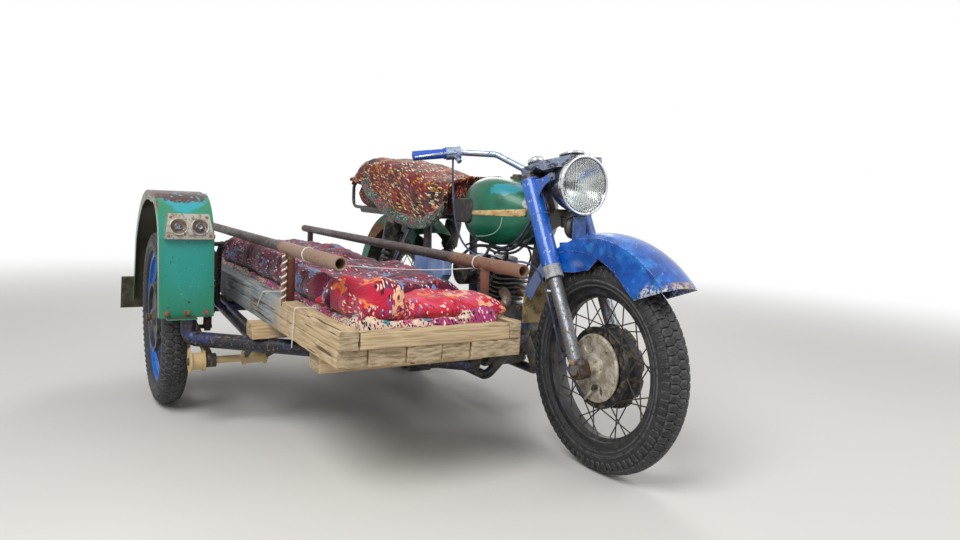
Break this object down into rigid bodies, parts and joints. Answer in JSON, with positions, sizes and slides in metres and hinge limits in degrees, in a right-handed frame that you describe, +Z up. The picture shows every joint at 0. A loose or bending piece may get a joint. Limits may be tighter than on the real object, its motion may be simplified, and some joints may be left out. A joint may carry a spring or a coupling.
{
  "type": "motorcycle with flatbed sidecar",
  "caption": "Old two-stroke motorcycle with spoked wheels, a tubular sidecar chassis and a railed wooden load bed.",
  "frame": {"origin": "on the ground under the middle of the bounding box", "axes": "+X forward, +Y to the rider's left, +Z up; the sidecar is on the right, towards -Y"},
  "size_m": [2.2474, 1.5954, 0.9926],
  "materials": {
    "black_plastic": "matte",
    "black_steel": "semi-gloss",
    "blue_rubber": "ribbed",
    "cast_alloy": "cast, dirty",
    "chassis_paint": "dark blue paint, rusted",
    "fork_paint": "blue gloss, chipped",
    "frame_paint": "dark blue-black paint, rusted",
    "glass": "ribbed",
    "lamp_paint": "blue gloss",
    "lamp_red": "gloss",
    "maroon_paint": "worn",
    "old_chrome": "worn, pitted",
    "panel_paint": "light blue-grey, worn",
    "plain_steel": "dull",
    "quilt_maroon": "floral print",
    "quilt_pink": "floral print",
    "rear_guard_paint": "green, rust-brown below",
    "rim_paint": "dark, rusted",
    "rubber": "matte",
    "rusty_tube": "rusted",
    "seat_cloth": "patterned cloth",
    "sidecar_guard_paint": "teal gloss, chipped",
    "sidecar_rim_paint": "blue, worn",
    "tan_rubber": "matte",
    "tank_paint": "brushed-on green gloss, worn",
    "tyre": "matte, dusty",
    "weathered_wood": "weathered grey-brown",
    "worn_alloy": "worn",
    "worn_grey_paint": "worn grey"
  },
  "bodies": {
    "chassis": {"bed_bearers": "weathered_wood", "bed_border": "weathered_wood", "bed_floor": "weathered_wood", "bed_rail_left": "rusty_tube", "bed_rail_right": "rusty_tube", "carburettor": "cast_alloy", "chain_case": "black_steel", "cylinder": "cast_alloy", "engine": "cast_alloy", "exhaust_left": "old_chrome", "exhaust_right": "old_chrome", "fuel_tank": "tank_paint", "knee_pad_left": "rubber", "knee_pad_right": "rubber", "main_frame": "frame_paint", "quilt_lower": "quilt_pink", "quilt_upper": "quilt_maroon", "rear_axle": "plain_steel", "rear_mudguard": "rear_guard_paint", "rear_rack": "rusty_tube", "rear_shock_left": "black_steel", "rear_shock_right": "black_steel", "seat": "seat_cloth", "seat_blanket": "quilt_maroon", "side_panel_left": "panel_paint", "side_panel_right": "panel_paint", "sidecar_arm": "chassis_paint", "sidecar_frame": "chassis_paint", "sidecar_lamp_plate": "worn_alloy", "sidecar_mud_flap": "rubber", "sidecar_mudguard": "sidecar_guard_paint", "sidecar_shock": "maroon_paint", "swingarm": "frame_paint", "tail_lamp": "lamp_red", "tank_cap": "black_plastic"},
    "steering": {"steering_stem": "fork_paint", "fork_shrouds": "fork_paint", "fork_sliders": "worn_alloy", "headlamp_shell": "lamp_paint", "headlamp_lens": "glass", "nacelle": "worn_grey_paint", "horn": "fork_paint", "handlebar": "old_chrome", "grip_right": "blue_rubber", "grip_left": "blue_rubber", "front_mudguard": "fork_paint", "front_mud_flap": "tan_rubber", "front_brake_plate": "cast_alloy", "front_axle": "plain_steel", "brake_cable": "rubber"},
    "front_wheel": {"front_tyre": "tyre", "front_spoked_wheel": "rim_paint"},
    "rear_wheel": {"rear_tyre": "tyre", "rear_spoked_wheel": "rim_paint"},
    "sidecar_wheel": {"sidecar_tyre": "tyre", "sidecar_spoked_wheel": "sidecar_rim_paint"},
    "centre_stand": {"centre_stand": "frame_paint"}
  },
  "joints": [
    {"name": "steering", "type": "hinge", "parent": "chassis", "child": "steering", "pos_m": [0.73944, 0.38833, 0.28964], "axis": [-0.4695, 0, 0.8829], "range_deg": [-30, 30], "deforming": ["brake_cable"]},
    {"name": "front_wheel_spin", "type": "hinge", "parent": "steering", "child": "front_wheel", "pos_m": [0.80125, 0.38833, 0.3225], "axis": [0, 1, 0], "continuous": true},
    {"name": "rear_wheel_spin", "type": "hinge", "parent": "chassis", "child": "rear_wheel", "pos_m": [-0.59875, 0.38833, 0.3225], "axis": [0, 1, 0], "continuous": true},
    {"name": "sidecar_wheel_spin", "type": "hinge", "parent": "chassis", "child": "sidecar_wheel", "pos_m": [-0.43875, -0.68867, 0.3225], "axis": [0, 1, 0], "continuous": true},
    {"name": "centre_stand_fold", "type": "hinge", "parent": "chassis", "child": "centre_stand", "pos_m": [-0.04875, 0.38833, 0.19], "axis": [0, -1, 0], "range_deg": [0, 90]}
  ]
}
